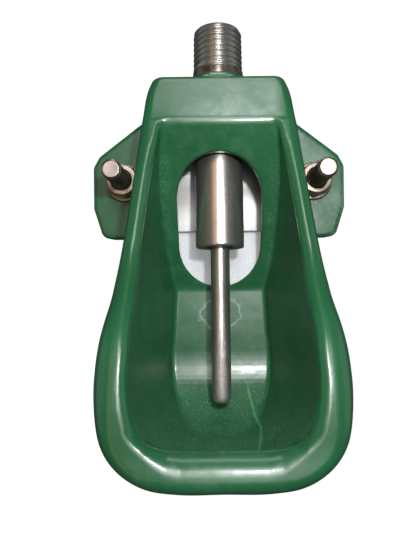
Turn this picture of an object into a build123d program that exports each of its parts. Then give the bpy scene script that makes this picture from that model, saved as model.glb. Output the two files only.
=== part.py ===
from build123d import *
import math
import os

# Livestock drinking bowl with a push-pin water valve.
# Frame: X to the right, Y towards the wall, Z up. The origin is on the back
# face of the clamp plate, midway between the two fixing studs.
# Depths written d are measured forward from the bowl's own back edge, so a
# depth d lies at Y = -(d + PLATE_T). The valve is built on its own axis, with
# the height s measured up from the housing's lower end, and leans back at the
# top by VALVE_LEAN.

# ---------------------------------------------------------------- dimensions
PLATE_T = 3.0            # clamp plate thickness
# clamp plate, half width against height; its upper corners are cut off
PLATE = [(36.0, 21.5), (51.5, 9.0), (51.5, -21.5)]

SKIN = 3.6               # moulded wall thickness of the bowl
EAR_T = 5.0              # thickness of the fixing ears
STUD_X = 42.0            # half of the spacing of the studs
STUD_R = 4.0             # M8 stud
STUD_RN = 3.9            # stud inside the nut, washers and plate
STUD_STEP = 16.0         # depth where the full thread diameter starts
STUD_D = 39.0            # stud end, forward of the bowl's back edge
EAR_HOLE_R = 4.5         # clearance hole in the ear

HEAD_Z = 41.0            # top of the bowl's head
BOSS_R = 14.6            # boss round the housing inside the head
BOSS_Z0 = 28.6

VALVE_LEAN = 3.5         # degrees, top of the valve leans to the wall
FOOT_D = 18.5            # depth of the housing's lower end
FOOT_Z = -29.9           # height of the housing's lower end
TUBE_R = 10.15           # valve housing outside radius
THREAD_R = 10.4775       # G 1/2 major radius
COLLAR_R = 10.75         # plain collar between thread and head
COLLAR_S0 = 66.5
THREAD_S0 = 76.0         # lower end of the thread
THREAD_S1 = 93.5         # upper end of the thread
PIVOT_S = 18.0           # centre of the pin's ball head
BALL_R = 6.0
NECK_R = 3.0
PIN_R = 4.0
PIN_S0 = -64.6           # tip of the push pin
SEAL_RI = 6.12           # rubber seal cup, inner and outer sphere radius
SEAL_RO = 7.2
SEAT_RI = 7.32           # spherical face of the seat insert
BORE_R = 7.8             # housing bore above the seat
MOUTH_R = 6.1            # housing bore below the seat
SEAT_S0 = 10.0
SEAT_S1 = 15.6
SPRING_S0 = 28.5
SPRING_S1 = 48.5

# side line of the rim, (depth, height), from the head's roof to the lower lip
RIM = [(0, 41.0), (27.3, 41.0), (38.2, 19.2), (48.0, -31.8), (51.0, -39.4),
       (55.5, -46.6), (60.5, -53.5), (64.5, -60.2), (67.0, -66.7),
       (70.0, -76.3), (73.0, -88.9), (75.2, -101.5), (75.9, -105.6),
       (76.0, -108.6), (75.2, -111.2), (73.0, -112.4)]
# outline of the rim, half width against height
OUT = [(25.6, 41.0), (28.4, 38.6), (29.5, 34.7), (30.2, 29.0), (30.85, 20.5),
       (31.5, 15.6), (34.5, -8.0), (37.75, -31.8), (39.45, -43.1),
       (40.4, -50.1), (41.9, -56.9), (43.15, -63.5), (44.0, -71.0),
       (44.3, -78.0), (43.95, -84.0), (43.2, -90.5), (41.7, -97.5),
       (38.4, -103.2), (33.6, -107.6), (27.0, -110.8), (17.5, -112.4)]
# inner edge of the rim
INN = [(23.2, 19.2), (23.8, 15.4), (26.1, 0.0), (27.3, -8.0), (29.5, -25.0),
       (30.4, -32.0), (31.6, -48.0), (32.3, -66.0), (31.9, -82.0),
       (29.6, -91.0), (24.5, -99.5), (16.3, -106.0)]
# inward slope of the trough's side walls against height
SLOPE = [(20.0, 0.0), (15.4, 0.02), (0.0, 0.127), (-8.0, 0.15), (-25.0, 0.193),
         (-32.0, 0.205), (-48.0, 0.22), (-66.0, 0.182), (-84.0, 0.1445),
         (-110.0, 0.12)]
# depth of the rim's crest against height
RIM_AT = [(19.2, 38.2), (15.4, 39.0), (-8.0, 43.4), (-32.0, 48.0),
          (-52.0, 59.5), (-66.0, 66.7), (-82.0, 71.5), (-91.0, 73.4),
          (-99.5, 75.0), (-106.0, 76.0)]

# side line of the trough: flat back wall, round floor corner, floor, lip
WALL_D = 4.0
FLOOR_C = (33.8, -75.6)
FLOOR_R = 29.8

# fixing ears, half width against height
EAR = [(28.0, 30.0), (35.3, 26.2), (53.5, 12.2), (56.2, 7.3), (56.2, -11.1),
       (52.3, -23.1), (46.0, -24.4), (28.0, -24.4)]

# oval opening in the recessed panel
WIN_R = 17.7
WIN_TOP = 8.0
WIN_BOT = -46.4


# ------------------------------------------------------------------- helpers
def at_depth(d):
    return -(d + PLATE_T)


def cyl(r, s0, s1):
    # cylinder on the valve's own axis
    return Pos(0, 0, (s0 + s1) / 2) * Cylinder(r, s1 - s0)


def ball(r, s):
    return Pos(0, 0, s) * Sphere(r)


def place(shape):
    # from the valve's own axis to the row frame
    return Location((0, at_depth(FOOT_D), FOOT_Z), (-VALVE_LEAN, 0, 0)) * shape


def mirrored(points):
    right = [(x, z) for x, z in points]
    left = [(-x, z) for x, z in reversed(points)]
    return right + left


def outline_wire(points, depth):
    # closed outline in the X-Z plane at one depth
    corners = [Vector(x, at_depth(depth), z) for x, z in mirrored(points)]
    return Wire.make_polygon(corners, close=True)


def loft_outlines(front, d_front, back, d_back):
    return Solid.make_loft(
        [outline_wire(front, d_front), outline_wire(back, d_back)], ruled=True)


def side_prism(points, half):
    # region of the Y-Z plane, given as (depth, height), extruded along X
    wire = Wire.make_polygon(
        [Vector(-half, at_depth(d), z) for d, z in points], close=True)
    return Solid.extrude(Face(wire), Vector(2 * half, 0, 0))


def plan_prism(points, d0, d1):
    wire = Wire.make_polygon(
        [Vector(x, at_depth(d0), z) for x, z in points], close=True)
    return Solid.extrude(Face(wire), Vector(0, -(d1 - d0), 0))


def y_cyl(r, x, z, d0, d1):
    # cylinder along the depth direction
    return Pos(x, at_depth((d0 + d1) / 2), z) * Rot(90, 0, 0) * Cylinder(r, d1 - d0)


def arc_points(cx, cz, r, a0, a1, n):
    return [(cx + r * math.cos(math.radians(a0 + (a1 - a0) * i / n)),
             cz + r * math.sin(math.radians(a0 + (a1 - a0) * i / n)))
            for i in range(n + 1)]


def grow(points, dx, dz_top, dz_bot, z_mid=-40.0):
    return [(x + dx, z + (dz_top if z > z_mid else dz_bot)) for x, z in points]


def one(shape):
    # the single solid of a boolean result
    solids = shape.solids()
    solids.sort(key=lambda s: s.volume)
    return solids[-1]


# --------------------------------------------------------------------- bowl
def table(pairs, z):
    # straight-line lookup, heights falling
    if z >= pairs[0][0]:
        return pairs[0][1]
    for (z0, v0), (z1, v1) in zip(pairs, pairs[1:]):
        if z >= z1:
            return v0 + (v1 - v0) * (z0 - z) / (z0 - z1)
    return pairs[-1][1]


def inner_outline(depth, lift=0.0):
    # outline of the trough at one depth; lift opens its top
    return [(max(x + table(SLOPE, z) * (depth - table(RIM_AT, z)), 4.0),
             z + (lift if z > 10 else 0.0)) for x, z in INN]


def make_bowl():
    s = SKIN
    # outer body: outline through the depth, cut by the side line of the rim
    outer_plan = loft_outlines(OUT, 90, grow(OUT, -1.2, 0, 0), 0)
    rim_poly = RIM + [(60.0, -112.4), (0.0, -112.4)]
    full = one(outer_plan & side_prism(rim_poly, 60))

    # trough, open to the front
    cx, cz = FLOOR_C
    floor = arc_points(cx, cz, FLOOR_R, 180, 270, 14)
    panel_low = (WALL_D, -47.2)
    trough_side = side_prism(
        [panel_low] + floor
        + [(50.0, -106.6), (57.0, -105.8), (61.0, -103.3), (65.0, -99.8),
           (70.6, -95.5), (78.0, -90.0), (120.0, -80.0), (120.0, 70.0), (64.6, 70.0)], 60)
    inn_front = inner_outline(90, 8.0)
    inn_back = inner_outline(0)
    trough = one(trough_side & loft_outlines(inn_front, 90, inn_back, 0))

    # the same form grown by the wall thickness
    floor_g = arc_points(cx, cz, FLOOR_R + s, 180, 270, 14)
    side_g = side_prism(
        [(WALL_D - s, -46.2)] + floor_g
        + [(50.0, -106.6 - s), (58.5, -105.8 - s), (64.0, -106.2), (68.0, -102.4),
           (73.0, -98.0), (80.0, -91.0), (120.0, -80.0), (120.0, 78.0), (64.6 - 4.0, 78.0)], 60)
    grown = one(side_g & loft_outlines(grow(inn_front, s, s, -s), 90,
                                       grow(inn_back, s, s, -s), 0))

    # hollow behind the outer skin, open to the back
    in_plan = loft_outlines(grow(OUT, -s, -s, s), 90,
                            grow(OUT, -1.2 - s, -s, s), -8)
    rim_in = [(-8.0, HEAD_Z - s), (24.6, HEAD_Z - s), (34.4, 18.6), (44.2, -32.5),
              (47.4, -40.6), (51.8, -48.2), (57.2, -55.6), (61.0, -61.8),
              (63.6, -68.0), (66.4, -77.0), (69.4, -89.6), (71.6, -101.0),
              (72.0, -106.5), (66.0, -109.4), (60.0, -140.0), (-8.0, -140.0)]
    hollow = one(in_plan & side_prism(rim_in, 60))
    # the outer skin ends in a skirt behind the lip; the trough stands clear
    belly = one(plan_prism([(-70, 0), (70, 0), (70, -140), (-70, -140)], -6, 90)
                & side_prism([(-6.0, -29.0), (9.0, -33.0), (22.0, -42.0),
                              (35.0, -53.5), (46.0, -66.0), (54.0, -80.0),
                              (60.0, -95.0), (62.0, -106.0), (62.5, -130.0),
                              (-6.0, -130.0)], 60))
    rear = (hollow + belly) - grown
    shell = full - trough
    for piece in rear.solids():
        shell = shell - piece
    shell = one(shell)

    # boss that carries the housing inside the head
    boss = place(cyl(BOSS_R, 50, 80)) & side_prism(
        [(0.0, HEAD_Z), (27.0, HEAD_Z), (31.6, BOSS_Z0), (0.0, BOSS_Z0)], 40)
    shell = one(shell + boss)
    # low raised ring round the housing on the roof
    ring = place(cyl(13.0, 66, 74)) & side_prism(
        [(1.0, HEAD_Z - 1), (27.0, HEAD_Z - 1), (26.6, HEAD_Z + 1.2),
         (1.0, HEAD_Z + 1.2)], 40)
    shell = one(shell + ring)

    # fixing ears on the back edge
    for sign in (-1, 1):
        ear = plan_prism([(sign * x, z) for x, z in EAR], 0, EAR_T)
        for piece in (ear - full).solids():
            shell = shell + piece
        shell = one(shell)

    # oval opening through the panel
    zc_top = WIN_TOP - WIN_R
    zc_bot = WIN_BOT + WIN_R
    win = plan_prism([(-WIN_R, zc_bot), (WIN_R, zc_bot), (WIN_R, zc_top),
                      (-WIN_R, zc_top)], -1, 60)
    win = win + y_cyl(WIN_R, 0, zc_top, -1, 60) + y_cyl(WIN_R, 0, zc_bot, -1, 60)
    shell = one(shell - win)

    # bore for the housing, holes for the studs
    shell = one(shell - place(cyl(COLLAR_R + 0.03, COLLAR_S0, 80)))
    shell = one(shell - place(cyl(TUBE_R + 0.03, 40, 80)))
    for sign in (-1, 1):
        shell = one(shell - y_cyl(EAR_HOLE_R, sign * STUD_X, 0, -1, EAR_T + 1))
    return shell


# -------------------------------------------------------------------- valve
def make_housing():
    body = cyl(TUBE_R, 0, THREAD_S0)
    body = body + cyl(COLLAR_R, COLLAR_S0, THREAD_S0)
    thread = cyl(THREAD_R, THREAD_S0 - 0.5, THREAD_S1)
    thread = chamfer(thread.edges().filter_by(GeomType.CIRCLE).sort_by(Axis.Z)[-1], 1.1)
    body = body + thread
    body = body - cyl(BORE_R, SEAT_S0, THREAD_S1 + 1)
    body = body - cyl(MOUTH_R, -1, SEAT_S0 + 0.5)
    body = one(body)
    low = [e for e in body.edges().filter_by(GeomType.CIRCLE)
           if abs(e.center().Z) < 0.01 and e.radius > TUBE_R - 0.1]
    return one(chamfer(low, 0.5))


def make_seat():
    seat = cyl(BORE_R, SEAT_S0, SEAT_S1)
    seat = seat - ball(SEAT_RI, PIVOT_S)
    return one(seat - cyl(5.3, SEAT_S0 - 1, SEAT_S1 + 1))


def make_seal():
    s_low = PIVOT_S - SEAL_RO * math.cos(math.radians(46))
    s_high = PIVOT_S - SEAL_RO * math.cos(math.radians(77))
    seal = ball(SEAL_RO, PIVOT_S) - ball(SEAL_RI, PIVOT_S)
    return one(seal & cyl(12, s_low, s_high))


def make_pin():
    pin = ball(BALL_R, PIVOT_S) + cyl(NECK_R, 6.5, PIVOT_S)
    pin = pin + Pos(0, 0, 6.0) * Cone(PIN_R, NECK_R, 1.0)
    stem = cyl(PIN_R, PIN_S0, 5.5)
    tip = stem.edges().filter_by(GeomType.CIRCLE).sort_by(Axis.Z)[0]
    stem = fillet(tip, 1.4)
    return one(pin + stem)


def make_follower():
    cap = cyl(6.6, 22.1, SPRING_S0) - ball(BALL_R + 0.12, PIVOT_S)
    cap = cap + cyl(2.6, SPRING_S0, 37.0)
    # three flow notches
    for k in range(3):
        a = math.radians(90 + 120 * k)
        cap = cap - Pos(6.8 * math.cos(a), 6.8 * math.sin(a), 26) * Cylinder(1.7, 12)
    return one(cap)


def make_spring():
    # cylindrical compression spring
    r, wire, turns = 4.6, 0.45, 6
    s0, s1 = SPRING_S0 + 0.5, SPRING_S1 - 0.5
    path = Helix(pitch=(s1 - s0) / turns, height=s1 - s0, radius=r)
    section = Plane(origin=path @ 0, z_dir=path % 0) * Circle(wire)
    coil = sweep(section, path=path)
    return one(Pos(0, 0, s0) * coil)


def make_retainer():
    disc = cyl(BORE_R, 48.5, 53.5) - cyl(3.0, 47, 55)
    for k in range(6):
        a = math.radians(60 * k)
        disc = disc - Pos(5.3 * math.cos(a), 5.3 * math.sin(a), 51) * Cylinder(1.1, 8)
    return one(disc - cyl(5.6, 51.6, 55))


def make_flow_disc():
    return one(cyl(BORE_R, 53.5, 55.5) - cyl(1.6, 52, 57))


def make_strainer():
    cup = cyl(5.6, 67.0, 90.0) - cyl(4.9, 67.9, 92.0)
    cup = cup + (cyl(7.6, 89.5, 91.0) - cyl(4.9, 88.0, 92.0))
    for k in range(8):
        for ss in (71.5, 77.5, 83.5):
            slot = Rot(0, 0, 45 * k) * (Pos(5.2, 0, ss) * Box(2.4, 1.5, 4.4))
            cup = cup - slot
    return one(cup)


def make_gasket():
    return one(cyl(7.6, 91.0, 92.5) - cyl(5.2, 90, 94))


def make_lock_nut():
    nut = Pos(0, 0, 51.0) * extrude(RegularPolygon(13.0, 6, major_radius=False), 4.6)
    nut = nut & cyl(14.3, 50, 56)
    return one(nut - cyl(TUBE_R, 48, 58))


def make_lock_washer():
    return one(cyl(13.4, 55.6, 56.9) - cyl(TUBE_R, 50, 60))


# ---------------------------------------------------------------- fasteners
def make_plate():
    plate = plan_prism(mirrored(PLATE), -PLATE_T, 0)
    plate = fillet(plate.edges().filter_by(Axis.Y), 3.0)
    for sign in (-1, 1):
        plate = plate - y_cyl(STUD_RN, sign * STUD_X, 0, -PLATE_T - 1, 1)
    return one(plate)


def make_stud(sign):
    end = y_cyl(STUD_R, sign * STUD_X, 0, STUD_STEP, STUD_D)
    ends = end.edges().filter_by(GeomType.CIRCLE).sort_by(Axis.Y)
    end = chamfer(ends[0], 0.8)
    return one(end + y_cyl(STUD_RN, sign * STUD_X, 0, -PLATE_T + 0.3, STUD_STEP))


def make_flat_washer(sign):
    return one(y_cyl(8.4, sign * STUD_X, 0, EAR_T, EAR_T + 1.6)
               - y_cyl(STUD_R + 0.2, sign * STUD_X, 0, EAR_T - 1, EAR_T + 3))


def make_spring_washer(sign):
    d0 = EAR_T + 1.6
    ring = (y_cyl(7.05, sign * STUD_X, 0, d0, d0 + 2.0)
            - y_cyl(STUD_R + 0.1, sign * STUD_X, 0, d0 - 1, d0 + 3))
    slit = Pos(sign * STUD_X, at_depth(d0 + 1.0), 0) * Rot(0, 60, 0) \
        * Pos(5.6, 0, 0) * Rot(30, 0, 0) * Box(4.4, 6.0, 1.0)
    return one(ring - slit)


def make_nut(sign):
    d0 = EAR_T + 3.6
    nut = Pos(sign * STUD_X, at_depth(d0), 0) * Rot(90, 0, 0) * extrude(
        RegularPolygon(6.5, 6, major_radius=False), 6.8)
    bevel = (Pos(sign * STUD_X, at_depth(d0 + 3.4), 0) * Rot(90, 0, 0)
             * Cylinder(7.45, 6.8))
    bevel = chamfer(bevel.edges().filter_by(GeomType.CIRCLE), 0.5)
    nut = nut & bevel
    return one(nut - y_cyl(STUD_RN, sign * STUD_X, 0, d0 - 1, d0 + 8))


parts = {
    "bowl": make_bowl(),
    "valve_housing": place(make_housing()),
    "valve_seat": place(make_seat()),
    "poppet_seal": place(make_seal()),
    "push_pin": place(make_pin()),
    "spring_follower": place(make_follower()),
    "valve_spring": place(make_spring()),
    "spring_retainer": place(make_retainer()),
    "flow_disc": place(make_flow_disc()),
    "inlet_strainer": place(make_strainer()),
    "strainer_gasket": place(make_gasket()),
    "head_lock_nut": place(make_lock_nut()),
    "head_washer": place(make_lock_washer()),
    "clamp_plate": make_plate(),
}
for side, sign in (("left", -1), ("right", 1)):
    parts["stud_" + side] = make_stud(sign)
    parts["flat_washer_" + side] = make_flat_washer(sign)
    parts["spring_washer_" + side] = make_spring_washer(sign)
    parts["hex_nut_" + side] = make_nut(sign)

os.makedirs("parts", exist_ok=True)
for name, shape in parts.items():
    shape.label = name
    export_step(shape, os.path.join("parts", name + ".step"))
    print(name, "volume", round(shape.volume, 1), "valid", shape.is_valid)
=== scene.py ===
import math
import random

import bmesh
import bpy
import numpy as np
from mathutils import Matrix, Vector


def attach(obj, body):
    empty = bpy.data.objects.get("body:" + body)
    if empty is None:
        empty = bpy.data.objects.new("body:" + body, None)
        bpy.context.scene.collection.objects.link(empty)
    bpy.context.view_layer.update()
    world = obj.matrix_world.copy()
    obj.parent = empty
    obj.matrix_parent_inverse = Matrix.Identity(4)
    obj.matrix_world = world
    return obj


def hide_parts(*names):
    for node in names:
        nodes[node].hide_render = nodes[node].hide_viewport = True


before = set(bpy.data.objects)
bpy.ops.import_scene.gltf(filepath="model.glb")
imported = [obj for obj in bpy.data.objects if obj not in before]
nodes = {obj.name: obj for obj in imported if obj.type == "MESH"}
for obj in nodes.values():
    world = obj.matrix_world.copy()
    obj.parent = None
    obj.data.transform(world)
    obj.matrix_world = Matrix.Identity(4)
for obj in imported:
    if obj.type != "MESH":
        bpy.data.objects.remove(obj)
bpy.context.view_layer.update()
ROOT, PIN = "bowl_and_valve", "pin"
MM = 0.001
PLATE_T = 3.0
rng = np.random.default_rng(7)
scene = bpy.context.scene
scene.view_settings.view_transform = "Standard"
scene.view_settings.look = "None"
scene.view_settings.exposure = 0.0
scene.view_settings.gamma = 1.0


# ------------------------------------------------------------------ camera
def make_camera():
    yaw, pitch, roll = (math.radians(a) for a in (0.0, 0.37, -0.65))
    f = Vector((math.sin(yaw) * math.cos(pitch), math.cos(yaw) * math.cos(pitch), math.sin(pitch)))
    r = Vector((math.cos(yaw), -math.sin(yaw), 0.0))
    u = r.cross(f)
    r2 = r * math.cos(roll) + u * math.sin(roll)
    u2 = u * math.cos(roll) - r * math.sin(roll)
    data = bpy.data.cameras.new("camera")
    data.sensor_fit = "AUTO"
    data.sensor_width = 36.0
    data.lens = 36.0 * 549.0 / 543.0
    data.shift_x = -0.0230
    data.clip_start, data.clip_end = 0.01, 20.0
    cam = bpy.data.objects.new("camera", data)
    scene.collection.objects.link(cam)
    m = Matrix((r2, u2, -f)).transposed().to_4x4()
    m.translation = Vector((-2.65, -253.0, -41.3)) * MM
    cam.matrix_world = m
    scene.camera = cam
    return cam


make_camera()


# ------------------------------------------------------- implicit modelling
def smooth_line(points, step=0.5):
    """Dense Catmull-Rom line through the points."""
    p = np.array(points, float)
    ext = np.vstack([2 * p[0] - p[1], p, 2 * p[-1] - p[-2]])
    out = []
    for i in range(len(p) - 1):
        p0, p1, p2, p3 = ext[i:i + 4]
        n = max(2, int(np.linalg.norm(p2 - p1) / step))
        t = np.linspace(0, 1, n, endpoint=False)[:, None]
        # tangents limited so that long and short runs meet without overshoot
        l0, l1, l2 = (max(np.linalg.norm(b - a), 1e-6) for a, b in ((p0, p1), (p1, p2), (p2, p3)))
        m1 = ((p1 - p0) / l0 * l1 + (p2 - p1) / l1 * l0) / (l0 + l1) * l1
        m2 = ((p2 - p1) / l1 * l2 + (p3 - p2) / l2 * l1) / (l1 + l2) * l1
        h00, h10 = 2 * t**3 - 3 * t**2 + 1, t**3 - 2 * t**2 + t
        h01, h11 = -2 * t**3 + 3 * t**2, t**3 - t**2
        out.append(h00 * p1 + h10 * m1 + h01 * p2 + h11 * m2)
    return np.vstack(out + [p[-1:]])


def soften(floor_glint, width, step=0.5):
    """Even resampling and a running mean, with both ends held."""
    p = np.asarray(floor_glint, float)
    run = np.concatenate([[0], np.cumsum(np.linalg.norm(np.diff(p, axis=0), axis=1))])
    n = max(int(run[-1] / step), 8)
    at = np.linspace(0, run[-1], n + 1)
    q = np.stack([np.interp(at, run, p[:, k]) for k in range(2)], 1)
    k = max(int(width / (run[-1] / n)), 1)
    ext = np.vstack([2 * q[0] - q[k:0:-1], q, 2 * q[-1] - q[-2:-k - 2:-1]])
    kernel = np.ones(2 * k + 1) / (2 * k + 1)
    return np.stack([np.convolve(ext[:, j], kernel, "valid") for j in range(2)], 1)


def rounded(points, radii, n=10):
    """Open polyline with its inner corners filleted; radii holds one radius per point."""
    p = np.array(points, float)
    out = [p[0]]
    for i in range(1, len(p) - 1):
        r = radii[i]
        a, b = p[i - 1] - p[i], p[i + 1] - p[i]
        la, lb = np.linalg.norm(a), np.linalg.norm(b)
        a, b = a / la, b / lb
        ang = math.acos(max(-1.0, min(1.0, float(a @ b))))
        if r <= 0 or abs(math.pi - ang) < 0.02:
            out.append(p[i])
            continue
        t = min(r / math.tan(ang / 2), 0.48 * la, 0.48 * lb)
        r = t * math.tan(ang / 2)
        c = p[i] + (a + b) / np.linalg.norm(a + b) * (r / math.sin(ang / 2))
        s, e = p[i] + a * t - c, p[i] + b * t - c
        a0, a1 = math.atan2(s[1], s[0]), math.atan2(e[1], e[0])
        da = (a1 - a0 + math.pi) % (2 * math.pi) - math.pi
        for k in range(n + 1):
            q = a0 + da * k / n
            out.append(c + r * np.array((math.cos(q), math.sin(q))))
    out.append(p[-1])
    return np.array(out)


class Table:
    """Signed distance to a closed outline, looked up from a fine grid."""

    def __init__(self, outline, lo, hi, step=0.25):
        self.lo, self.step = lo, step
        us = np.arange(lo[0], hi[0] + step, step)
        vs = np.arange(lo[1], hi[1] + step, step)
        u, v = np.meshgrid(us, vs, indexing="ij")
        best = np.full(u.shape, 1e9)
        inside = np.zeros(u.shape, bool)
        q = np.asarray(outline, float)
        keep = np.linalg.norm(q - np.roll(q, 1, 0), axis=1) > 1e-6
        q = q[keep]
        for (ax, av), (bx, bv) in zip(q, np.roll(q, -1, 0)):
            ex, ev = bx - ax, bv - av
            wx, wv = u - ax, v - av
            t = np.clip((wx * ex + wv * ev) / (ex * ex + ev * ev), 0, 1)
            dist = (wx - t * ex) ** 2 + (wv - t * ev) ** 2
            np.minimum(best, dist, out=best)
            if av != bv:
                cross = (av > v) != (bv > v)
                inside ^= cross & (u < (bx - ax) * (v - av) / (bv - av) + ax)
        self.f = np.where(inside, -1, 1) * np.sqrt(best)

    def __call__(self, u, v):
        a = np.clip((u - self.lo[0]) / self.step, 0, self.f.shape[0] - 1.001)
        b = np.clip((v - self.lo[1]) / self.step, 0, self.f.shape[1] - 1.001)
        i, j = a.astype(np.int32), b.astype(np.int32)
        a, b = a - i, b - j
        f = self.f
        return ((f[i, j] * (1 - b) + f[i, j + 1] * b) * (1 - a)
                + (f[i + 1, j] * (1 - b) + f[i + 1, j + 1] * b) * a)


def isect(a, b, r):
    return np.minimum(-r, np.maximum(a, b)) + np.hypot(np.maximum(a + r, 0), np.maximum(b + r, 0))


def union(a, b, r):
    return np.maximum(r, np.minimum(a, b)) - np.hypot(np.maximum(r - a, 0), np.maximum(r - b, 0))


def ramp(v, pairs):
    x, y = zip(*sorted(pairs))
    return np.interp(v, x, y)


def dual_contour(field, lo, hi, h):
    """Polygon mesh of field = 0, with its vertices drawn onto edges and fillets."""
    axes = [np.arange(lo[k], hi[k] + h, h) for k in range(3)]
    shape = tuple(len(a) for a in axes)
    grid = np.empty(shape, np.float32)
    yy, zz = np.meshgrid(axes[1], axes[2], indexing="ij")
    for i0 in range(0, shape[0], 16):
        xs = axes[0][i0:i0 + 16]
        p = [np.broadcast_to(xs[:, None, None], (len(xs),) + yy.shape).ravel(),
             np.broadcast_to(yy, (len(xs),) + yy.shape).ravel(),
             np.broadcast_to(zz, (len(xs),) + zz.shape).ravel()]
        grid[i0:i0 + 16] = field(*p).reshape(len(xs), *yy.shape)
    neg = grid < 0
    strides = np.array((shape[1] * shape[2], shape[2], 1))
    points, normals, edge_cells, edge_flip = [], [], [], []

    def gradient(p, e=0.12):
        g = np.empty_like(p)
        for k in range(3):
            d = np.zeros(3)
            d[k] = e
            g[:, k] = (field(*(p + d).T) - field(*(p - d).T)) / (2 * e)
        return g

    for k in range(3):
        s0 = [slice(None)] * 3
        s1 = [slice(None)] * 3
        s0[k], s1[k] = slice(0, -1), slice(1, None)
        change = neg[tuple(s0)] != neg[tuple(s1)]
        others = [j for j in range(3) if j != k]
        for j in others:
            edge = [slice(None)] * 3
            edge[j] = 0
            change[tuple(edge)] = False
        idx = np.argwhere(change)
        ok = np.ones(len(idx), bool)
        for j in others:
            ok &= idx[:, j] < shape[j] - 1
        idx = idx[ok]
        f0 = grid[tuple(idx.T)]
        nxt = idx.copy()
        nxt[:, k] += 1
        f1 = grid[tuple(nxt.T)]
        p = np.stack([axes[j][idx[:, j]] for j in range(3)], 1)
        t = f0 / (f0 - f1)
        p[:, k] += t * h
        points.append(p)
        a, b = others
        cells = []
        for da, db in ((0, 0), (1, 0), (1, 1), (0, 1)):
            c = idx.copy()
            c[:, a] -= da
            c[:, b] -= db
            cells.append(c @ strides)
        edge_cells.append(np.stack(cells, 1))
        flip = neg[tuple(idx.T)]
        if k == 1:
            flip = ~flip
        edge_flip.append(flip)
    points = np.vstack(points)
    cells = np.vstack(edge_cells)
    flips = np.concatenate(edge_flip)
    g = gradient(points)
    normals = g / np.maximum(np.linalg.norm(g, axis=1, keepdims=True), 1e-9)
    ids, inverse = np.unique(cells.ravel(), return_inverse=True)
    inverse = inverse.reshape(cells.shape)
    n = len(ids)
    count = np.bincount(inverse.ravel(), minlength=n)
    mass = np.stack([np.bincount(inverse.ravel(), np.repeat(points[:, j], 4), n) for j in range(3)], 1)
    mass /= count[:, None]
    ata = np.zeros((n, 3, 3))
    atb = np.zeros((n, 3))
    for q in range(4):
        c = inverse[:, q]
        rel = np.einsum("ij,ij->i", normals, points - mass[c])
        for i in range(3):
            atb[:, i] += np.bincount(c, normals[:, i] * rel, n)
            for j in range(3):
                ata[:, i, j] += np.bincount(c, normals[:, i] * normals[:, j], n)
    ata += np.eye(3) * 0.08
    step = np.linalg.solve(ata, atb[:, :, None])[:, :, 0]
    length = np.linalg.norm(step, axis=1, keepdims=True)
    step *= np.minimum(1.0, 0.75 * h / np.maximum(length, 1e-9))
    v = mass + step
    for _ in range(2):
        f = field(*v.T)
        g = gradient(v)
        v -= g * np.clip(f / np.maximum((g**2).sum(1), 0.2), -0.3 * h, 0.3 * h)[:, None]
    quads = np.where(flips[:, None], inverse, inverse[:, ::-1])
    soft = gradient(v, 0.3)
    soft /= np.maximum(np.linalg.norm(soft, axis=1, keepdims=True), 1e-9)
    return v, quads, soft


def mesh_object(name, verts, faces, smooth=True):
    me = bpy.data.meshes.new(name)
    me.from_pydata([tuple(p) for p in verts], [], [tuple(int(i) for i in f) for f in faces])
    me.validate(clean_customdata=False)
    me.update()
    o = bpy.data.objects.new(name, me)
    scene.collection.objects.link(o)
    if smooth:
        me.polygons.foreach_set("use_smooth", [True] * len(me.polygons))
    return o


# -------------------------------------------------------------- the bowl
SKIN = 3.6
HEAD_Z = 41.0
LIP_R = 12.6
LEAN = math.radians(3.5)
AXIS = np.array((0.0, math.sin(LEAN), math.cos(LEAN)))
BASE = np.array((0.0, -(18.5 + PLATE_T), -29.9))

RIM = [(41.27, 3.2), (43.2, -6.8), (45.1, -16.8), (46.7, -24.8), (48.3, -31.8), (51.0, -39.2),
       (55.5, -46.6), (60.3, -53.5), (64.3, -60.2), (67.0, -66.7),
       (70.0, -76.3), (73.0, -88.9), (73.9, -96.0), (74.6, -101.2), (75.5, -105.0), (75.95, -108.2), (75.98, -114.0), (75.98, -120.0)]
OUT = [(29.5, 34.7), (30.2, 29.0), (30.85, 20.5), (31.5, 15.6), (34.5, -8.0), (37.75, -31.8), (39.45, -43.1),
       (40.4, -50.1), (41.9, -56.9), (43.15, -63.5), (44.0, -71.0), (44.3, -78.0), (43.95, -84.0),
       (43.1, -90.5), (41.1, -97.5), (37.3, -103.2), (32.2, -107.5), (25.6, -110.7), (16.0, -112.2), (0.0, -112.3)]
INN = [(23.7, 12.0), (26.1, 0.0), (27.3, -8.0), (29.5, -25.0), (30.4, -32.0), (31.6, -48.0),
       (32.3, -66.0), (31.9, -82.0), (29.6, -91.0), (24.5, -99.5),
       (16.3, -106.0), (8.0, -112.0), (0.0, -120.0)]
SLOPE = [(20.0, 0.0), (15.4, 0.02), (0.0, 0.127), (-8.0, 0.15), (-25.0, 0.193), (-32.0, 0.205),
         (-48.0, 0.22), (-66.0, 0.182), (-84.0, 0.1445), (-110.0, 0.12)]
RIM_AT = [(19.2, 38.2), (15.4, 39.0), (-8.0, 43.4), (-32.0, 48.0), (-52.0, 59.5), (-66.0, 66.7),
          (-82.0, 71.5), (-91.0, 73.4), (-99.5, 75.0), (-106.0, 76.0)]
EAR = [(20.0, 34.2), (35.3, 26.2), (53.5, 12.2), (56.2, 7.3), (56.2, -11.1),
       (52.2, -24.0), (47.0, -25.0), (20.0, -25.0)]


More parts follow.
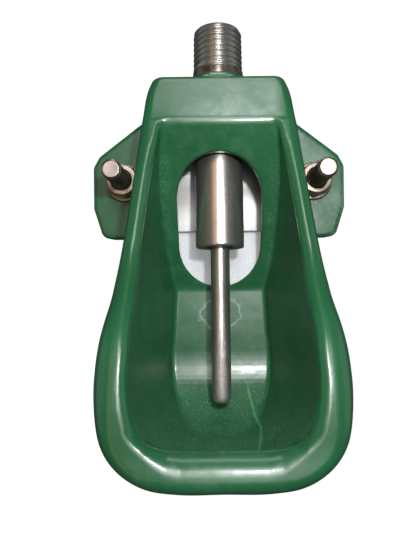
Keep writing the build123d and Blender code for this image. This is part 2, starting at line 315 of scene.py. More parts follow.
def build_bowl_tables():
    t = {}
    # outline, closed over the axis
    top = rounded([(0, 41.0), (27.1, 41.0), (29.5, 33.5), (30.2, 29.0)], [0, 5.5, 6, 0], 12)
    low = soften(smooth_line(OUT[1:], 0.6), 2.5)
    right = np.vstack([top[:-1], low])
    outline = np.vstack([right, (right * (-1, 1))[::-1]])
    t["out"] = Table(outline, (-2.0, -122.0), (60.0, 50.0))
    # side line of the rim
    head = rounded([(-60, 41.0), (27.3, 41.0), (38.2, 19.2), (41.27, 3.2)], [0, 3.6, 2.2, 0], 12)
    low = soften(smooth_line(RIM, 0.6), 4.0)
    rim = np.vstack([head[:-1], low, [(-60.0, -120.0)]])
    t["rim"] = Table(rim, (-14.0, -122.0), (84.0, 50.0))
    # trough
    arc = [(33.8 + 29.8 * math.cos(a), -75.6 + 29.8 * math.sin(a))
           for a in np.radians(np.linspace(180, 270, 24))]
    side = rounded([(64.6, 70.0), (4.0, -47.2), (4.0, -60.0)], [0, 7.0, 0], 10)
    side = np.vstack([side[:-1], arc, [(44.0, -106.0), (52.0, -106.6), (57.0, -105.8), (61.0, -103.3),
                                       (65.0, -99.8), (70.6, -95.5), (78.0, -90.0), (130.0, -62.0), (130.0, 70.0)]])
    t["side"] = Table(side, (-14.0, -122.0), (90.0, 50.0))
    top = rounded([(0, 20.6), (22.7, 20.6), (23.7, 12.0), (26.1, 0.0)], [0, 5.0, 0, 0], 12)
    low = soften(smooth_line(INN[1:], 0.6), 2.0)
    right = np.vstack([top[:-1], low])
    t["inn"] = Table(np.vstack([right, (right * (-1, 1))[::-1]]), (-22.0, -122.0), (70.0, 50.0))
    belly = smooth_line([(-20.0, -26.0), (-6.0, -29.0), (9.0, -33.0), (22.0, -42.0), (35.0, -53.5), (46.0, -66.0),
                         (51.0, -80.0), (54.0, -95.0), (55.0, -106.0), (55.5, -130.0)], 0.8)
    belly = np.vstack([belly, [(-20.0, -130.0)]])
    t["belly"] = Table(belly, (-14.0, -122.0), (84.0, 50.0))
    ear = rounded(EAR, [0, 0, 4.0, 3.5, 3.5, 4.0, 2.0, 0], 8)
    t["ear"] = Table(ear, (14.0, -40.0), (60.0, 50.0))
    return t


T = build_bowl_tables()


def bowl_field(x, y, z):
    """Signed distance, in millimetres, to the moulding."""
    ax = np.abs(x)
    d = -y - PLATE_T
    s = SKIN
    out = T["out"](ax + 1.2 * (1 - d / 90.0), z)
    rim = T["rim"](d, z)
    r_out = ramp(z, [(45, 3.6), (22, 3.8), (15, 4.2), (-30, 4.2), (-45, 5.0), (-60, 6.4), (-75, 7.6), (-88, 7.0), (-100, 5.0), (-115, 4.5)])
    full = isect(out, rim, r_out)
    cav_side = T["side"](d, z)
    cav_inn = T["inn"](ax - ramp(z, SLOPE) * (d - ramp(z, RIM_AT)), z)
    cav = isect(cav_side, cav_inn, ramp(z, [(20, 1.6), (-45, 1.4), (-70, 1.4), (-90, 1.8), (-108, 2.2)]))
    r_in = ramp(z, [(25, 1.5), (17, 1.6), (8, 2.8), (-32, 3.0), (-50, 2.9), (-70, 2.8), (-90, 3.4), (-100, 5.0)])
    # the lower lip rolls over from the floor in one broad round
    r_in = r_in + (LIP_R - r_in) * ramp(z, [(-84, 0), (-91, 1)]) * ramp(ax, [(14, 1), (19, 0.85), (27, 0.2), (32, 0)])
    shell = isect(out, isect(rim, -cav, r_in), r_out)
    thick = s - cav
    hollow = isect(isect(out + s, rim + s, 1.5), thick, 1.2)
    hollow = np.maximum(hollow, np.minimum(d - 56.0, -86.0 - z))
    belly = isect(T["belly"](d, z), thick, 0.8)
    shell = isect(shell, -np.minimum(hollow, belly), 0.55)
    # boss that carries the housing, under the roof
    rx, ry, rz = x, y - BASE[1], z - BASE[2]
    along = ry * AXIS[1] + rz * AXIS[2]
    radial = np.hypot(rx, ry * AXIS[2] - rz * AXIS[1])
    boss = np.maximum(np.maximum(radial - 14.6, 28.6 - z), full + 1.2)
    shell = union(shell, boss, 1.4)
    ring = isect(radial - 13.2 + 0.9 * (z - HEAD_Z), z - HEAD_Z - 1.15, 0.7)
    ring = np.maximum(ring, HEAD_Z - 2 - z)
    ring = np.maximum(ring, isect(d - 26.6, 0.8 - d, 0.3))
    shell = union(shell, ring, 0.8)
    # back plane
    shell = isect(shell, -d, 0.5)
    # ears
    ear = isect(T["ear"](ax, z), np.abs(d - 2.5) - 2.5, 1.9)
    ear = np.maximum(ear, -(out + 1.8))
    shell = union(shell, ear, 1.1)
    # oval opening
    zc = np.clip(z, -28.7, -9.7)
    win = np.maximum(np.hypot(ax, z - zc) - 17.7, d - 62)
    shell = isect(shell, -win, 0.45)
    # bores
    shell = isect(shell, -np.maximum(radial - 10.8, 35.0 - along), 0.3)
    shell = isect(shell, 4.55 - np.hypot(ax - 42.0, z), 0.4)
    return shell


def build_bowl():
    # the whole width is contoured at once; the field itself is symmetric in x through abs(x)
    h = 0.86
    v, q, n = dual_contour(bowl_field, (-57.19, -80.1, -115.4), (57.6, -2.2, 43.6), h)
    o = mesh_object("bowl_moulding", v * MM, q)
    o.data.normals_split_custom_set_from_vertices([tuple(a) for a in n])
    return o


bowl = build_bowl()
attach(bowl, ROOT)
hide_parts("bowl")


# ------------------------------------------------------------ turned pieces
def turned(name, rows, n, origin, axis, closed=True, ref=(1.0, 0.0, 0.0)):
    """Surface swept round an axis. rows holds (radius, height), and a radius may be a function of the angle."""
    axis = Vector(axis).normalized()
    ref = Vector(ref)
    ex = (ref - axis * ref.dot(axis)).normalized()
    ey = axis.cross(ex)
    th = np.arange(n) * 2 * math.pi / n
    verts = []
    ex_, ey_, a_, o_ = (np.array(q) for q in (ex, ey, axis, Vector(origin)))
    for r, s in rows:
        rad = r(th) if callable(r) else np.full(n, float(r))
        hs = s(th) if callable(s) else np.full(n, float(s))
        verts.append(o_ + np.outer(rad * np.cos(th), ex_) + np.outer(rad * np.sin(th), ey_) + np.outer(hs, a_))
    m = len(rows)
    verts = np.vstack(verts)
    faces = []
    last = m if closed else m - 1
    for i in range(last):
        j = (i + 1) % m
        for k in range(n):
            l = (k + 1) % n
            faces.append((i * n + k, i * n + l, j * n + l, j * n + k))
    if not closed:
        faces.append(tuple(range(n))[::-1])
        faces.append(tuple((m - 1) * n + k for k in range(n)))
    return mesh_object(name, verts * MM, faces)


def sharpen(o, angle=38.0):
    """Marks hard edges so that smooth shading stops at them."""
    bm = bmesh.new()
    bm.from_mesh(o.data)
    bm.normal_update()
    limit = math.radians(angle)
    for e in bm.edges:
        if len(e.link_faces) == 2 and e.calc_face_angle(0.0) > limit:
            e.smooth = False
    bm.to_mesh(o.data)
    bm.free()
    return o


def thread_rows(r_major, depth, pitch, s0, s1, per=12, taper=0.0, run_in=1.0, run_out=1.0, phase=0.0, chamfer=1.1, crest=0.16):
    """Rows of a right-hand screw thread that fades in and out at its ends."""
    rows = []
    count = int(round((s1 - s0) / pitch * per))
    for i in range(count + 1):
        s = s0 + (s1 - s0) * i / count

        def radius(th, s=s):
            ph = (s / pitch - th / (2 * math.pi) + phase) % 1.0
            tri = np.abs(2 * ph - 1)                       # 1 at the crest, 0 at the root
            tri = np.clip((tri - crest) / (1 - 2 * crest), 0, 1)
            tri = tri * tri * (3 - 2 * tri) * 0.35 + tri * 0.65
            fade = np.clip((s - s0) / (run_in * pitch), 0, 1) * 1.0
            r = r_major - taper * (s - s0) - depth * (1 - tri) * fade
            lim = r_major - taper * (s - s0) - np.clip(chamfer - (s1 - s) , 0, chamfer)
            return np.minimum(r, lim)

        rows.append((radius, s))
    return rows


ax_t = tuple(AXIS)
base_t = tuple(BASE)

# valve housing: barrel, collar, inlet thread, and its stepped bore
housing_rows = [(6.1, 0.35), (6.4, 0.0), (9.55, 0.0), (9.9, 0.12), (10.12, 0.5), (10.15, 0.95), (10.15, 6.0)]
housing_rows += [(10.15, s) for s in np.linspace(9, 65.5, 18)]
housing_rows += [(10.15, 66.4), (10.6, 66.55), (10.75, 66.9), (10.75, 70.0), (10.75, 74.6), (10.7, 75.1), (10.35, 75.5)]
housing_rows += thread_rows(10.4775, 1.02, 2.35, 75.6, 93.5, per=14, taper=0.012, run_in=0.5)
housing_rows += [(9.0, 93.5), (8.2, 93.45), (7.85, 93.1), (7.8, 92.6)]
housing_rows += [(7.8, s) for s in np.linspace(88, 14, 20)] + [(7.8, 10.0), (6.1, 10.0), (6.1, 5.0)]
housing = turned("valve_body", housing_rows, 128, base_t, ax_t)
sharpen(housing, 40)
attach(housing, ROOT)
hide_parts("valve_housing")

# push pin: ball head, neck, stem tapering into a rounded tip
pin_rows = []
for a in np.linspace(4, 150, 26):
    pin_rows.append((6.0 * math.sin(math.radians(a)), 18.0 + 6.0 * math.cos(math.radians(a))))
pin_rows += [(3.0, 12.4), (3.0, 10.0), (3.0, 7.0), (3.12, 6.55), (3.8, 5.75), (3.97, 5.45), (4.0, 5.0)]
pin_rows += [(4.0, s) for s in np.linspace(2, -50, 24)]
pin_rows += [(3.99, -54.0), (3.96, -57.0), (3.9, -59.6), (3.8, -61.6), (3.66, -62.8), (3.4, -63.6), (2.95, -64.15),
             (2.3, -64.45), (1.4, -64.58), (0.5, -64.6)]
pin_rows = pin_rows[::-1]
pin = turned("push_pin_turned", pin_rows, 96, base_t, ax_t, closed=False)
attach(pin, PIN)
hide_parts("push_pin")


# ---------------------------------------------------------------- fasteners
def hex_radius(af, turn):
    def r(th):
        a = (th + turn) % (math.pi / 3) - math.pi / 6
        return af / 2 / np.cos(a)
    return r


def stud(side, sign):
    x = sign * 42.0
    origin = (x, -PLATE_T, 0.0)
    rows = [(0.6, -2.68), (2.8, -2.7), (3.7, -2.66), (4.0, -2.4), (4.0, -0.6), (4.0, 0.2)]
    rows += thread_rows(4.0, 0.62, 1.25, 0.4, 39.0, per=9, run_in=1.0, phase=0.3 * sign, chamfer=0.8)
    rows += [(2.9, 39.0), (1.6, 38.97), (0.5, 38.96)]
    o = turned("stud_" + side + "_threaded", rows, 56, origin, (0, -1, 0), closed=False)
    sharpen(o, 60)
    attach(o, ROOT)
    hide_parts("stud_" + side)
    return o


def washer(side, sign):
    x = sign * 42.0
    origin = (x, -PLATE_T - 5.0, 0.0)
    rows = [(4.25, 0.25), (4.45, 0.04), (7.9, 0.02), (8.25, 0.12), (8.38, 0.4), (8.4, 0.9), (8.3, 1.28), (8.0, 1.5),
            (7.6, 1.58), (6.0, 1.6), (4.6, 1.59), (4.35, 1.5), (4.22, 1.3), (4.22, 0.8)]
    o = turned("flat_washer_" + side + "_pressed", rows, 80, origin, (0, -1, 0))
    sharpen(o, 50)
    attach(o, ROOT)
    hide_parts("flat_washer_" + side)
    return o


def split_washer(side, sign):
    """One turn of square wire with a cut, its ends a little apart."""
    x = sign * 42.0
    n, verts, faces = 76, [], []
    start = math.radians(60 if sign > 0 else 110)
    section = []
    r0, r1, t = 4.2, 7.05, 0.86
    for r, s in ((r0 + 0.2, -t), (r1 - 0.2, -t), (r1 - 0.05, -t + 0.06), (r1, -t + 0.2), (r1, t - 0.2),
                 (r1 - 0.05, t - 0.06), (r1 - 0.2, t), (r0 + 0.2, t), (r0, t - 0.2), (r0, -t + 0.2)):
        section.append((r, s))
    m = len(section)
    for i in range(n + 1):
        f = i / n
        a = start + math.radians(344) * f
        lift = 1.0 + (f - 0.5) * 0.24
        for r, s in section:
            verts.append((x + r * math.cos(a), -PLATE_T - 6.6 - (s + lift), r * math.sin(a)))
    for i in range(n):
        for k in range(m):
            l = (k + 1) % m
            faces.append((i * m + k, i * m + l, (i + 1) * m + l, (i + 1) * m + k))
    faces.append(tuple(range(m))[::-1])
    faces.append(tuple(n * m + k for k in range(m)))
    o = mesh_object("spring_washer_" + side + "_split", np.array(verts) * MM, faces)
    bm = bmesh.new()
    bm.from_mesh(o.data)
    bmesh.ops.recalc_face_normals(bm, faces=bm.faces)
    bm.to_mesh(o.data)
    bm.free()
    sharpen(o, 50)
    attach(o, ROOT)
    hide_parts("spring_washer_" + side)
    return o


def nut(side, sign, turn):
    x = sign * 42.0
    origin = (x, -PLATE_T - 8.6, 0.0)
    hexr = hex_radius(13.0, turn)

    def at(s):
        end = min(s, 6.8 - s)
        cone = 6.25 + end * 1.75

        def r(th, cone=cone):
            e = hexr(th)
            k = 0.12
            h = np.clip(0.5 + (e - cone) / (2 * k), 0, 1)
            return e * (1 - h) + cone * h - k * h * (1 - h)
        return r

    rows = [(4.6, 0.05), (5.6, 0.0)]
    rows += [(at(s), s) for s in (0.0, 0.12, 0.3, 0.5, 0.7, 0.9, 1.3, 2.2, 3.4, 4.6, 5.5, 5.9, 6.1, 6.3, 6.5, 6.68, 6.8)]
    rows += [(5.6, 6.8), (4.75, 6.8), (4.3, 6.45), (4.02, 6.2), (4.02, 3.0), (4.02, 0.6), (4.3, 0.3)]
    o = turned("hex_nut_" + side + "_chamfered", rows, 132, origin, (0, -1, 0))
    sharpen(o, 32)
    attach(o, ROOT)
    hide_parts("hex_nut_" + side)
    return o


studs = [stud("left", -1), stud("right", 1)]
washers = [washer("left", -1), washer("right", 1)]
splits = [split_washer("left", -1), split_washer("right", 1)]
nuts = [nut("left", -1, 0.25), nut("right", 1, 0.6)]


def plate():
    """Flat bar with its upper corners cut off, broken edges and two stud holes."""
    r = 3.0
    corners = [(51.5, -21.5), (51.5, 9.0), (36.0, 21.5), (-36.0, 21.5), (-51.5, 9.0), (-51.5, -21.5)]
    ring = []
    for i, p in enumerate(corners):
        p = np.array(p)
        a, b = np.array(corners[i - 1]) - p, np.array(corners[(i + 1) % 6]) - p
        a, b = a / np.linalg.norm(a), b / np.linalg.norm(b)
        half = math.acos(float(a @ b)) / 2
        c = p + (a + b) / np.linalg.norm(a + b) * r / math.sin(half)
        n0 = math.atan2(a[0], -a[1])                       # outward normals of the two edges
        n1 = math.atan2(-b[0], b[1])
        turn = (n1 - n0 + math.pi) % (2 * math.pi) - math.pi
        for k in range(9):
            q = n0 + turn * k / 8
            ring.append((c[0], c[1], math.cos(q), math.sin(q)))
    bm = bmesh.new()
    loops = []
    for off, y in ((0.45, -3.0), (0.13, -2.87), (0.0, -2.55), (0.0, -0.45), (0.13, -0.13), (0.45, 0.0)):
        loops.append([bm.verts.new(((cx + (r - off) * c) * MM, y * MM, (cz + (r - off) * s) * MM)) for cx, cz, c, s in ring])
    n = len(ring)
    for a, b in zip(loops, loops[1:]):
        for k in range(n):
            bm.faces.new((a[k], a[(k + 1) % n], b[(k + 1) % n], b[k]))
    holes = []
    for sign in (-1, 1):
        hl = []
        for off, y in ((0.25, -3.0), (0.0, -2.75), (0.0, -0.25), (0.25, 0.0)):
            hl.append([bm.verts.new(((sign * 42.0 + (4.03 + off) * math.cos(t)) * MM, y * MM, (4.03 + off) * math.sin(t) * MM))
                       for t in np.arange(40) * 2 * math.pi / 40])
        for a, b in zip(hl, hl[1:]):
            for k in range(40):
                bm.faces.new((a[k], b[k], b[(k + 1) % 40], a[(k + 1) % 40]))
        holes.append(hl)
    for end in (0, -1):
        edges = []
        for lp in [loops[end], holes[0][end], holes[1][end]]:
            m = len(lp)
            for k in range(m):
                e = bm.edges.get((lp[k], lp[(k + 1) % m]))
                edges.append(e)
        bmesh.ops.triangle_fill(bm, edges=edges, use_beauty=True, use_dissolve=False)
    bmesh.ops.recalc_face_normals(bm, faces=bm.faces)
    me = bpy.data.meshes.new("clamp_plate_bar")
    bm.to_mesh(me)
    bm.free()
    o = bpy.data.objects.new("clamp_plate_bar", me)
    scene.collection.objects.link(o)
    me.polygons.foreach_set("use_smooth", [True] * len(me.polygons))
    sharpen(o, 50)
    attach(o, ROOT)
    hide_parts("clamp_plate")
    return o


plate_obj = plate()


# --------------------------------------------------------------- materials
class Nodes:
    def __init__(self, name):
        self.m = bpy.data.materials.new(name)
        self.m.use_nodes = True
        self.t = self.m.node_tree
        self.t.nodes.clear()
        self.out = self.t.nodes.new("ShaderNodeOutputMaterial")
        self.pos = self.add("ShaderNodeTexCoord").outputs["Object"]

    def add(self, kind, inputs=None, **props):
        n = self.t.nodes.new(kind)
        for k, v in props.items():
            setattr(n, k, v)
        for k, v in (inputs or {}).items():
            self.put(n.inputs[k], v)
        return n

    def put(self, socket, v):
        if isinstance(v, bpy.types.NodeSocket):
            self.t.links.new(v, socket)
        else:
            socket.default_value = v

    def math(self, op, a, b=0.0, c=0.0, clamp=False):
        n = self.add("ShaderNodeMath", {0: a, 1: b, 2: c}, operation=op, use_clamp=clamp)
        return n.outputs[0]

    def noise(self, scale, detail=3.0, rough=0.5, at=None, dist=0.0):
        n = self.add("ShaderNodeTexNoise", {"Vector": at or self.pos, "Scale": scale, "Detail": detail,
                                            "Roughness": rough, "Distortion": dist})
        return n.outputs["Fac"]

    def scaled(self, sx, sy, sz, at=None, loc=(0, 0, 0), rot=(0, 0, 0)):
        n = self.add("ShaderNodeMapping", {"Vector": at or self.pos, "Scale": (sx, sy, sz), "Location": loc, "Rotation": rot})
        return n.outputs[0]

    def ramp(self, fac, stops, interp="LINEAR"):
        n = self.add("ShaderNodeValToRGB", {"Fac": fac})
        r = n.color_ramp
        r.interpolation = interp
        while len(r.elements) < len(stops):
            r.elements.new(0.5)
        for e, (p, c) in zip(r.elements, stops):
            e.position = p
            e.color = (c, c, c, 1) if isinstance(c, (int, float)) else (*c, 1)
        return n.outputs["Color"]

    def mix(self, fac, a, b, mode="MIX"):
        n = self.add("ShaderNodeMix", data_type="RGBA", blend_type=mode)
        self.put(n.inputs["Factor"], fac)
        for s, v in ((n.inputs[6], a), (n.inputs[7], b)):
            if isinstance(v, (int, float)):
                v = (v, v, v, 1)
            elif isinstance(v, tuple) and len(v) == 3:
                v = (*v, 1)
            self.put(s, v)
        return n.outputs[2]

    def range(self, v, a, b, c=0.0, d=1.0, kind="SMOOTHSTEP"):
        n = self.add("ShaderNodeMapRange", {"Value": v, "From Min": a, "From Max": b, "To Min": c, "To Max": d},
                     interpolation_type=kind, clamp=True)
        return n.outputs[0]

    def xyz(self, at=None):
        n = self.add("ShaderNodeSeparateXYZ", {0: at or self.pos})
        return n.outputs

    def bump(self, height, strength, distance, normal=None):
        ins = {"Height": height, "Strength": strength, "Distance": distance}
        if normal is not None:
            ins["Normal"] = normal
        return self.add("ShaderNodeBump", ins).outputs[0]

    def shade(self, **ins):
        b = self.add("ShaderNodeBsdfPrincipled")
        for k, v in ins.items():
            k = k.replace("_", " ")
            if isinstance(v, tuple) and len(v) == 3 and b.inputs[k].type == "RGBA":
                v = (*v, 1)
            self.put(b.inputs[k], v)
        self.t.links.new(b.outputs[0], self.out.inputs["Surface"])
        return self.m


def plastic_green():
    g = Nodes("bowl_green_plastic")
    x, y, z = g.xyz()[:3]
    mul, add = (lambda a, b: g.math("MULTIPLY", a, b)), (lambda a, b: g.math("ADD", a, b))
    big = g.noise(28, 4, 0.55)
    fine = g.noise(900, 3, 0.6)
    speck = g.noise(2600, 2, 0.5)
    cloud = g.noise(75, 5, 0.62, dist=0.6)
    base = g.mix(g.range(big, 0.3, 0.7), (0.011, 0.090, 0.032), (0.016, 0.116, 0.045))
    base = g.mix(mul(g.range(fine, 0.45, 0.75), 0.25), base, (0.018, 0.105, 0.055))
    ax = g.math("ABSOLUTE", x)
    # dried water film inside the trough, heavier on the flat back wall
    reach = g.math("MINIMUM", g.math("SUBTRACT", 0.0256, mul(z, 0.127)), 0.0315)
    inside = mul(g.range(z, 0.019, 0.015), g.range(y, -0.0060, -0.0068))
    inside = mul(inside, g.range(g.math("SUBTRACT", reach, ax), 0.0, 0.0015))
    film = mul(inside, g.range(g.noise(160, 5, 0.65, dist=0.8), 0.42, 0.72))
    base = g.mix(mul(film, 0.12), base, (0.10, 0.21, 0.155))
    # pale milky sheen painted on the sloping face of the head, a painted reflection of the overhead light, thin at its
    # left and heavier over the ledge
    head_sheen = mul(mul(g.range(z, 0.0192, 0.0212), g.range(z, 0.0402, 0.0360)), g.range(y, -0.0285, -0.0315))
    head_sheen = mul(head_sheen, g.range(ax, 0.0262, 0.0215))
    head_sheen = mul(head_sheen, g.range(x, -0.024, 0.000, 0.0, 1.0))
    head_sheen = mul(head_sheen, g.range(z, 0.038, 0.021, 0.50, 1.40, kind="LINEAR"))
    head_sheen = mul(head_sheen, g.range(cloud, 0.30, 0.66, 0.45, 1.15))
    base = g.mix(mul(head_sheen, 0.30), base, (0.56, 0.66, 0.63))
    # pale sheen painted on the right fixing ear only, a painted reflection that leaves the left ear darker as if in
    # shade
    ears = mul(g.range(ax, 0.033, 0.036), g.range(y, -0.0095, -0.0080))
    base = g.mix(mul(mul(mul(ears, g.range(x, 0.0, 0.03)), g.range(cloud, 0.40, 0.62)), 0.16), base, (0.40, 0.50, 0.45))
    # tide mark round the lower end of the opening, pale at its edge and cleaner within
    warp = mul(g.math("SUBTRACT", g.noise(190, 4, 0.6), 0.5), 0.0085)
    dz = add(z, 0.0585)
    ring = add(g.math("SQRT", add(mul(x, x), mul(mul(dz, dz), 1.25))), warp)
    front = mul(g.range(y, -0.0120, -0.0085), g.range(y, -0.0058, -0.0066))
    edge = mul(mul(g.range(ring, 0.0078, 0.0086), g.range(ring, 0.0098, 0.0089)), front)
    core = mul(g.range(ring, 0.0086, 0.0076), front)
    base = g.mix(mul(core, 0.70), base, (0.010, 0.075, 0.040))
    base = g.mix(mul(mul(edge, g.range(fine, 0.25, 0.55)), 0.75), base, (0.20, 0.36, 0.26))
    # pale specks of lime, most of them along the creases and low in the trough
    dots = g.range(speck, 0.60, 0.68)
    crease = mul(g.range(ax, 0.0185, 0.0215), g.range(ax, 0.0275, 0.0240))
    crease = mul(crease, g.range(z, 0.012, 0.004))
    low = g.range(z, -0.072, -0.096)
    where = g.math("MAXIMUM", mul(g.range(g.noise(120, 3), 0.50, 0.66), 0.6), g.math("MAXIMUM", mul(crease, 0.9), low))
    dots = mul(mul(dots, where), mul(inside, g.range(y, -0.068, -0.062)))
    base = g.mix(mul(dots, 0.70), base, (0.22, 0.42, 0.28))
    # one long curved pale streak on the right of the floor, a painted reflection, also fed into the bump
    bend = add(0.0152, add(mul(add(y, 0.034), 0.0), mul(mul(add(y, 0.034), add(y, 0.034)), -7.0)))
    off = g.math("ABSOLUTE", g.math("SUBTRACT", x, add(bend, mul(g.math("SUBTRACT", g.noise(110, 2), 0.5), 0.0016))))
    floor_glint = mul(mul(g.range(off, 0.00075, 0.00015), g.range(z, -0.088, -0.093)), g.range(y, -0.062, -0.052))
    floor_glint = mul(floor_glint, g.range(fine, 0.25, 0.50))
    base = g.mix(mul(floor_glint, 0.50), base, (0.10, 0.38, 0.18))
    # fine scratches in two directions
    s1 = g.noise(1.0, 2, 0.5, at=g.scaled(2200, 2200, 60))
    s2 = g.noise(1.0, 2, 0.5, at=g.scaled(70, 900, 2400, rot=(0.2, 0.5, 0.3)))
    scratch = add(g.range(s1, 0.68, 0.76), g.range(s2, 0.70, 0.78))
    base = g.mix(mul(scratch, 0.10), base, (0.12, 0.30, 0.20))
    floor = mul(mul(g.range(z, -0.089, -0.096), g.range(y, -0.070, -0.062)), g.range(ax, 0.031, 0.026))
    rough = add(0.24, mul(g.noise(60, 4, 0.6), 0.14))
    rough = add(rough, mul(film, 0.12))
    rough = add(rough, mul(scratch, 0.05))
    rough = add(rough, mul(floor, 0.30))
    rough = add(rough, mul(head_sheen, 0.16))
    coat = g.range(floor, 0.0, 0.6, 0.25, 0.02)
    n1 = g.bump(g.noise(90, 3, 0.5), 0.35, 0.0006)
    n2 = g.bump(fine, 0.14, 0.00012, n1)
    n3 = g.bump(add(scratch, add(dots, floor_glint)), 0.12, 0.00006, n2)
    return g.shade(Base_Color=base, Roughness=rough, Normal=n3, Specular_IOR_Level=0.5, IOR=1.49,
                   Coat_Weight=coat, Coat_Roughness=0.14)


def steel(name, tint, rough, brush=(2600, 2600, 25), brush_depth=0.00002, spots=0.25, pitted=None, dark=0.55, metal=1.0, band=None):
    g = Nodes(name)
    lines = g.noise(1.0, 3, 0.6, at=g.scaled(*brush))
    cloud = g.noise(70, 4, 0.6)
    col = g.mix(g.range(cloud, 0.35, 0.7), tint, tuple(c * dark for c in tint))
    col = g.mix(g.math("MULTIPLY", g.range(lines, 0.35, 0.7), 0.25), col, tuple(c * 0.6 for c in tint))
    rust = g.math("MULTIPLY", g.range(g.noise(420, 4, 0.65), 0.60, 0.72), spots)
    col = g.mix(rust, col, (0.20, 0.11, 0.055))
    if band:
        # brown sealant and rust left on the collar
        zb = g.xyz()[2]
        stain = g.math("MULTIPLY", g.range(zb, band[0], band[0] + 0.001), g.range(zb, band[1], band[1] - 0.0015))
        stain = g.math("MULTIPLY", stain, g.range(g.noise(260, 4, 0.65), 0.36, 0.60, 0.25, 0.85))
        col = g.mix(stain, col, (0.13, 0.075, 0.04))
    rg = g.math("ADD", rough, g.math("MULTIPLY", lines, 0.14))
    rg = g.math("ADD", rg, g.math("MULTIPLY", cloud, 0.08))
    nrm = g.bump(lines, 0.35, brush_depth)
    if pitted:
        z = g.xyz()[2]
        amount = g.range(z, pitted[0], pitted[1])
        pits = g.math("MULTIPLY", g.range(g.noise(1900, 3, 0.6), 0.45, 0.65), amount)
        nrm = g.bump(pits, 0.8, 0.00008, nrm)
        rg = g.math("ADD", rg, g.math("MULTIPLY", amount, 0.12))
        col = g.mix(g.math("MULTIPLY", pits, 0.45), col, tuple(c * 0.35 for c in tint))
    return g.shade(Base_Color=col, Metallic=metal, Roughness=rg, Normal=nrm)


def simple(name, a, b, rough, scale=500, bump=0.00003):
    g = Nodes(name)
    f = g.noise(scale, 4, 0.6)
    col = g.mix(g.range(f, 0.3, 0.7), a, b)
    return g.shade(Base_Color=col, Roughness=g.math("ADD", rough, g.math("MULTIPLY", f, 0.15)),
                   Normal=g.bump(f, 0.4, bump))


mats = {
    "bowl": plastic_green(),
    "housing": steel("housing_steel", (0.50, 0.48, 0.45), 0.18, brush=(2600, 2600, 30), spots=0.20, dark=0.8, metal=0.90, band=(0.0405, 0.0462)),
    "pin": steel("pin_steel", (0.48, 0.46, 0.44), 0.20, brush=(2400, 2400, 30), spots=0.25, pitted=(-0.045, -0.085), dark=0.7, metal=0.92),
    "stud": steel("stud_steel", (0.40, 0.35, 0.31), 0.28, brush=(1400, 60, 1400), spots=0.5),
    "fastener": steel("fastener_steel", (0.36, 0.30, 0.25), 0.30, brush=(900, 900, 900), spots=0.55),
    "plate": steel("plate_steel", (0.86, 0.86, 0.85), 0.36, brush=(1800, 400, 18), brush_depth=0.00001, spots=0.05, dark=0.93, metal=0.3),
    "spring": steel("spring_steel", (0.60, 0.60, 0.58), 0.22, spots=0.1),
    "rubber": simple("seal_rubber", (0.012, 0.012, 0.013), (0.03, 0.03, 0.032), 0.55),
    "seat": simple("seat_acetal", (0.62, 0.62, 0.58), (0.70, 0.70, 0.66), 0.38),
    "disc": simple("disc_nylon", (0.45, 0.06, 0.025), (0.55, 0.09, 0.04), 0.42),
    "strainer": simple("strainer_nylon", (0.66, 0.66, 0.62), (0.74, 0.74, 0.70), 0.45),
}


def dress(o, m):
    o.data.materials.clear()
    o.data.materials.append(m)


dress(bowl, mats["bowl"])
dress(housing, mats["housing"])
dress(pin, mats["pin"])
for o in studs:
    dress(o, mats["stud"])
for o in washers + splits + nuts:
    dress(o, mats["fastener"])
dress(plate_obj, mats["plate"])
for node, key in (("valve_seat", "seat"), ("poppet_seal", "rubber"), ("spring_follower", "seat"),
                  ("valve_spring", "spring"), ("spring_retainer", "seat"), ("flow_disc", "disc"),
                  ("inlet_strainer", "strainer"), ("strainer_gasket", "rubber"),
                  ("head_lock_nut", "fastener"), ("head_washer", "fastener")):
    dress(nodes[node], mats[key])


# ---------------------------------------------------------- light and stage
def area(name, pos, target, size, energy, color=(1, 1, 1), size_y=None, shape="SQUARE"):
    data = bpy.data.lights.new(name, "AREA")
    data.shape = "RECTANGLE" if size_y else shape
    data.size = size
    if size_y:
        data.size_y = size_y
    data.energy = energy
    data.color = color
    o = bpy.data.objects.new(name, data)
    scene.collection.objects.link(o)
    o.location = pos
    d = Vector(target) - Vector(pos)
    o.rotation_euler = d.to_track_quat("-Z", "Y").to_euler()
    return o


def aimed(name, azimuth, elevation, distance, size, size_y, energy, color=(1, 1, 1), tilt=0.0):
    """Panel seen from the bowl at an azimuth to the right of the open front and an elevation."""
    a, e = math.radians(azimuth), math.radians(elevation)
    target = Vector((0.0, -0.03, -0.03))
    d = Vector((math.sin(a) * math.cos(e), -math.cos(a) * math.cos(e), math.sin(e)))
    up = Vector((-math.sin(a) * math.sin(e), math.cos(a) * math.sin(e), math.cos(e)))
    side = up.cross(d)
    t = math.radians(tilt)
    side, up = side * math.cos(t) + up * math.sin(t), up * math.cos(t) - side * math.sin(t)
    o = area(name, target + d * distance, target, size, energy, color, size_y)
    m = Matrix((side, up, d)).transposed().to_4x4()
    m.translation = target + d * distance
    o.matrix_world = m
    return o


area("key", (0.030, -0.256, 0.010), (0, -0.03, -0.03), 0.016, 0.40, shape="DISK")
aimed("window_right", 3.0, 22.0, 1.0, 0.24, 0.46, 3.6)
aimed("overhead", 3.0, 80.0, 0.9, 0.30, 0.30, 1.25)
aimed("front", 4.0, 0.5, 1.2, 0.30, 0.36, 1.3)
aimed("warm_left", -26.0, 0.0, 1.05, 0.24, 1.2, 1.3, color=(1.0, 0.52, 0.25))
aimed("side_left", -80.0, 5.0, 1.0, 0.8, 0.8, 0.75)
aimed("side_right", 80.0, 5.0, 1.0, 0.8, 0.8, 1.10)

world = bpy.data.worlds.new("studio")
scene.world = world
world.use_nodes = True
wn = world.node_tree
wn.nodes["Background"].inputs["Color"].default_value = (0.80, 0.86, 0.84, 1)
wn.nodes["Background"].inputs["Strength"].default_value = 0.07


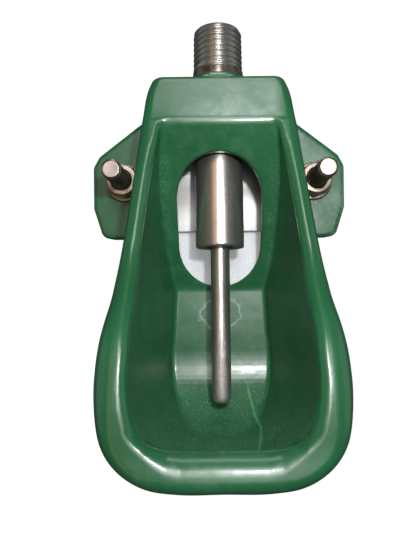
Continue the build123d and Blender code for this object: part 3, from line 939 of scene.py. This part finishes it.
def stage_dome():
    """One seamless pale surround that only the camera sees."""
    bm = bmesh.new()
    bmesh.ops.create_icosphere(bm, subdivisions=4, radius=6.0)
    bmesh.ops.reverse_faces(bm, faces=bm.faces)
    me = bpy.data.meshes.new("pale_surround")
    bm.to_mesh(me)
    bm.free()
    o = bpy.data.objects.new("pale_surround", me)
    scene.collection.objects.link(o)
    m = bpy.data.materials.new("pale_surround")
    m.use_nodes = True
    t = m.node_tree
    t.nodes.clear()
    out = t.nodes.new("ShaderNodeOutputMaterial")
    e = t.nodes.new("ShaderNodeEmission")
    e.inputs["Color"].default_value = (1, 1, 1, 1)
    e.inputs["Strength"].default_value = 1.02
    t.links.new(e.outputs[0], out.inputs["Surface"])
    me.materials.append(m)
    o.visible_diffuse = o.visible_glossy = o.visible_transmission = o.visible_shadow = False
    o.visible_volume_scatter = False


stage_dome()


def wall_card():
    """Patch of plastered wall close behind the opening, seen from the front only."""
    me = bpy.data.meshes.new("wall_card")
    x, z0, z1, y = 21.0, -51.0, -18.0, 0.6
    me.from_pydata([(a * MM, y * MM, b * MM) for a, b in ((-x, z0), (x, z0), (x, z1), (-x, z1))], [], [(0, 1, 2, 3)])
    o = bpy.data.objects.new("wall_card", me)
    scene.collection.objects.link(o)
    g = Nodes("wall_card")
    grain = g.noise(1500, 4, 0.7)
    col = g.mix(g.range(grain, 0.3, 0.7), (0.48, 0.50, 0.52), (0.66, 0.67, 0.69))
    b = g.add("ShaderNodeBsdfPrincipled", {"Base Color": col, "Roughness": 0.8})
    e = g.add("ShaderNodeEmission", {"Color": col, "Strength": 0.34})
    s = g.add("ShaderNodeAddShader", {0: b.outputs[0], 1: e.outputs[0]})
    clear = g.add("ShaderNodeBsdfTransparent")
    back = g.add("ShaderNodeNewGeometry").outputs["Backfacing"]
    mix = g.add("ShaderNodeMixShader", {0: back, 1: s.outputs[0], 2: clear.outputs[0]})
    g.t.links.new(mix.outputs[0], g.out.inputs["Surface"])
    me.materials.append(g.m)
    o.visible_diffuse = o.visible_glossy = o.visible_transmission = o.visible_shadow = False


wall_card()
